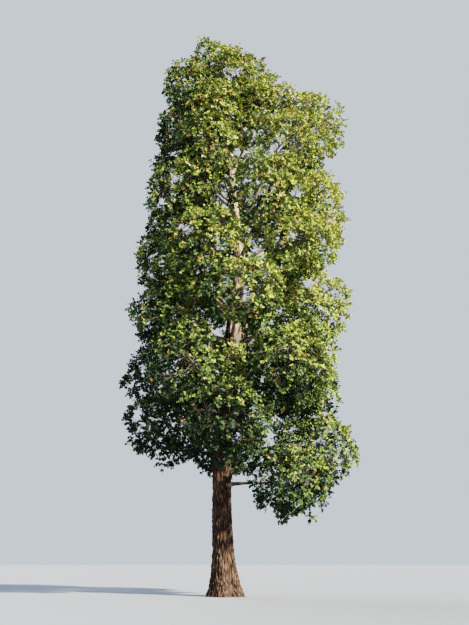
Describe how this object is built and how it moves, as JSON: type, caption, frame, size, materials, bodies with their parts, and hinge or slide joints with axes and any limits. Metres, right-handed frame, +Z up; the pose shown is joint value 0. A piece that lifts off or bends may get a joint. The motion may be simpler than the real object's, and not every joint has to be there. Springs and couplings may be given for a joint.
{
  "type": "tall broadleaf tree",
  "caption": "Tall park tree: a straight trunk with a root flare, rising and drooping boughs, and a full, billowing, slightly lopsided crown of separate leafy masses.",
  "frame": {"origin": "middle of the flat cut under the trunk, at ground level", "axes": "+Z up, +X towards the crown's wider side (the right of the picture), +Y towards the back (away from the camera)"},
  "size_m": [13.1436, 11.0543, 32.3619],
  "materials": {
    "trunk_bark": "matt, furrowed red-brown bark",
    "limb_bark": "matt, smooth grey-cream bark",
    "foliage": "matt olive-green leaves"
  },
  "bodies": {
    "root": {"bough_10": "limb_bark", "bough_11": "limb_bark", "bough_12": "limb_bark", "bough_13": "limb_bark", "bough_14": "limb_bark", "bough_20": "limb_bark", "bough_21": "limb_bark", "bough_22": "limb_bark", "bough_23": "limb_bark", "bough_24": "limb_bark", "bough_30": "limb_bark", "bough_31": "limb_bark", "bough_32": "limb_bark", "bough_33": "limb_bark", "bough_34": "limb_bark", "bough_35": "limb_bark", "bough_36": "limb_bark", "bough_37": "limb_bark", "bough_38": "limb_bark", "bough_39": "limb_bark", "foliage_01": "foliage", "foliage_02": "foliage", "foliage_03": "foliage", "foliage_04": "foliage", "foliage_05": "foliage", "foliage_06": "foliage", "foliage_07": "foliage", "foliage_08": "foliage", "foliage_09": "foliage", "foliage_10": "foliage", "foliage_11": "foliage", "foliage_12": "foliage", "foliage_13": "foliage", "foliage_14": "foliage", "foliage_15": "foliage", "foliage_16": "foliage", "foliage_17": "foliage", "foliage_18": "foliage", "foliage_19": "foliage", "foliage_20": "foliage", "foliage_21": "foliage", "foliage_22": "foliage", "foliage_23": "foliage", "foliage_24": "foliage", "foliage_25": "foliage", "foliage_26": "foliage", "foliage_27": "foliage", "foliage_28": "foliage", "foliage_29": "foliage", "foliage_30": "foliage", "foliage_31": "foliage", "foliage_32": "foliage", "foliage_33": "foliage", "foliage_34": "foliage", "foliage_35": "foliage", "foliage_36": "foliage", "foliage_37": "foliage", "foliage_38": "foliage", "foliage_39": "foliage", "trunk": "trunk_bark"}
  },
  "joints": []
}
